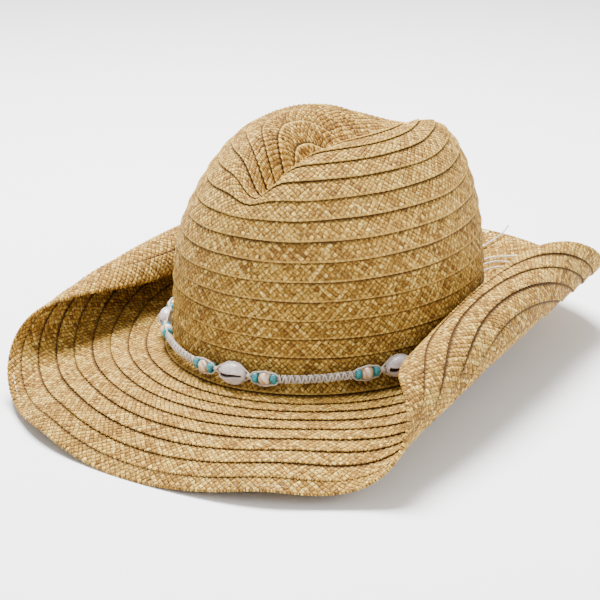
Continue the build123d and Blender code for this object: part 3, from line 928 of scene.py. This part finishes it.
# ---- Loose ends of the band's cords ---------------------------------------
TAILS = {
    "tail_1": (95.0, [(20.4, 103.2, 8.2), (20.2, 110.0, 6.4), (18.8, 118.0, 3.0), (16.6, 129.0, 2.8),
                      (14.6, 141.0, 4.1), (13.2, 154.0, 5.9), (13.6, 167.0, 8.1), (16.4, 179.0, 10.5),
                      (18.4, 188.0, 13.0), (18.8, 194.5, 16.6)]),
    "tail_2": (71.5, [(21.8, 103.0, 8.2), (22.0, 109.6, 6.2), (21.6, 117.0, 2.8), (20.8, 127.0, 2.6),
                      (20.6, 138.0, 3.7), (22.2, 149.0, 5.2), (27.2, 156.6, 6.4), (34.0, 159.8, 6.9),
                      (41.0, 163.4, 7.6)]),
    "tail_3": (65.6, [(23.2, 102.7, 8.2), (23.8, 109.2, 6.2), (24.2, 116.0, 2.8), (24.0, 125.0, 2.5),
                      (24.6, 135.0, 3.4), (26.4, 145.0, 4.6), (31.0, 151.6, 5.5), (38.0, 153.6, 5.8),
                      (45.0, 153.0, 5.8)]),
    "tail_4": (55.6, [(24.6, 102.4, 8.2), (25.6, 108.8, 6.2), (27.0, 115.0, 2.8), (28.0, 123.0, 2.4),
                      (29.6, 132.0, 3.1), (33.0, 140.6, 4.0), (39.0, 146.4, 4.9), (46.0, 148.0, 5.1)]),
}


def tail(name, route):
    """One loose end, as a smooth line over the back of the brim."""
    curve = bpy.data.curves.new(f"{name}_cord", "CURVE")
    curve.dimensions = "3D"
    curve.bevel_depth = CORD / 2 * MM
    curve.bevel_resolution = 3
    curve.resolution_u = 12
    curve.use_fill_caps = True
    spline = curve.splines.new("NURBS")
    spline.points.add(len(route) - 1)
    for point, place in zip(spline.points, route):
        point.co = (*(Vector(place) * MM), 1.0)
    spline.order_u = 3
    spline.use_endpoint_u = True
    curve.materials.append(cord_white)
    made = bpy.data.objects.new(f"{name}_cord", curve)
    bpy.context.scene.collection.objects.link(made)
    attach(made, "hatband")
    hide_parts(name)


for name, (length, route) in TAILS.items():
    tail(name, route)


# ---- Floor and light --------------------------------------------------------
def plain(name, colour):
    """Pale matt surface with a trace of grain."""
    s = Shader(name, Roughness=0.9, Specular_IOR_Level=0.1)
    place = s.node("ShaderNodeTexCoord").outputs["Object"]
    grain = s.noise(place, 30.0)
    return s.finish(s.ramp(grain, (0.0, tuple(0.98 * part for part in colour)), (1.0, colour)))


FLOOR = 6.0
corners = [(-FLOOR, -FLOOR, 0), (FLOOR, -FLOOR, 0), (FLOOR, FLOOR, 0), (-FLOOR, FLOOR, 0)]
floor_mesh = bpy.data.meshes.new("floor")
floor_mesh.from_pydata(corners, [], [(0, 1, 2, 3)])
floor = bpy.data.objects.new("floor", floor_mesh)
floor.location.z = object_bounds()[0].z
floor_mesh.materials.append(plain("pale_floor", (0.93, 0.93, 0.93)))
bpy.context.scene.collection.objects.link(floor)


def area_light(name, place, size, power):
    """Soft square light aimed at the hat."""
    data = bpy.data.lights.new(name, "AREA")
    data.size = size
    data.energy = power
    made = bpy.data.objects.new(name, data)
    made.location = place
    made.rotation_euler = (Vector((0, 0, 0.04)) - Vector(place)).to_track_quat("-Z", "Y").to_euler()
    bpy.context.scene.collection.objects.link(made)


area_light("overhead", (-0.38, 0.24, 1.45), 0.8, 122.0)
area_light("front_fill", (0.2, -1.6, 0.9), 1.2, 2.0)
area_light("right_fill", (1.5, -0.2, 0.8), 1.0, 16.0)

world = bpy.data.worlds.new("studio")
world.use_nodes = True
world.node_tree.nodes["Background"].inputs["Color"].default_value = (1, 1, 1, 1)
world.node_tree.nodes["Background"].inputs["Strength"].default_value = 0.70
bpy.context.scene.world = world
